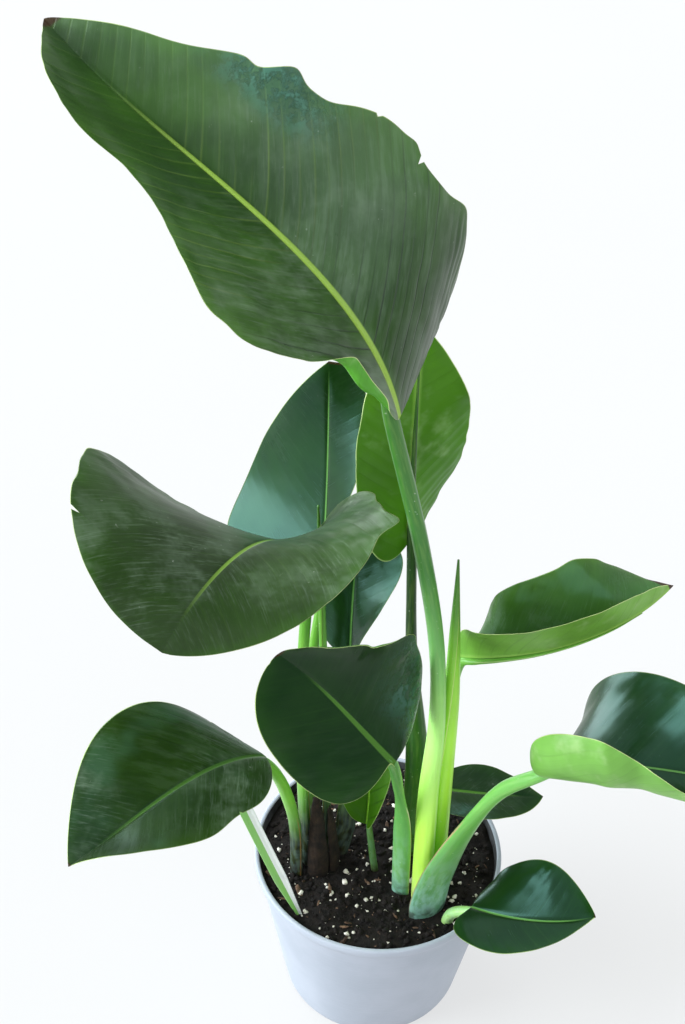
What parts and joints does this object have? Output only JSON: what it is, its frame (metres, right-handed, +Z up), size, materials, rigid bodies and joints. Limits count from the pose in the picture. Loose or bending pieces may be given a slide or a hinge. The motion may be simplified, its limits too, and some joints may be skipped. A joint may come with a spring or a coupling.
{
  "type": "potted bird of paradise",
  "caption": "Young bird of paradise plant with large glossy paddle-shaped leaves on sheathing stalks, growing in a round tapered nursery pot of dark potting mix.",
  "frame": {"origin": "middle of the pot's underside, on the surface that it stands on", "axes": "+Z up, +X to the right and +Y away from someone who faces the front"},
  "size_m": [0.4132, 0.2497, 0.6822],
  "materials": {
    "pot_plastic": "thin moulded grey plastic, satin, lightly scuffed",
    "potting_mix": "dark damp peat and bark with white perlite grains",
    "leaf_blade": "waxy glossy green with a pale midrib and fine parallel veins",
    "leaf_stalk": "smooth waxy yellow-green",
    "dry_sheath": "dry fibrous brown",
    "stake_plastic": "thin glossy white plastic strip, bare"
  },
  "bodies": {
    "root": {"pot": "pot_plastic", "soil": "potting_mix", "care_stake": "stake_plastic", "main_spear": "leaf_stalk", "left_spear": "leaf_stalk", "dry_sheath_front": "dry_sheath", "dry_sheath_right": "dry_sheath", "crown_stalk": "leaf_stalk", "crown_blade": "leaf_blade", "arching_stalk": "leaf_stalk", "arching_blade": "leaf_blade", "rear_right_stalk": "leaf_stalk", "rear_right_blade": "leaf_blade", "rear_left_stalk": "leaf_stalk", "rear_left_blade": "leaf_blade", "front_stalk": "leaf_stalk", "front_blade": "leaf_blade", "low_left_stalk": "leaf_stalk", "low_left_blade": "leaf_blade", "upper_right_stalk": "leaf_stalk", "upper_right_blade": "leaf_blade", "far_right_stalk": "leaf_stalk", "far_right_blade": "leaf_blade", "low_right_stalk": "leaf_stalk", "low_right_blade": "leaf_blade", "behind_right_stalk": "leaf_stalk", "behind_right_blade": "leaf_blade", "mid_rear_stalk": "leaf_stalk", "mid_rear_blade": "leaf_blade", "inner_stalk": "leaf_stalk", "inner_blade": "leaf_blade"}
  },
  "joints": []
}
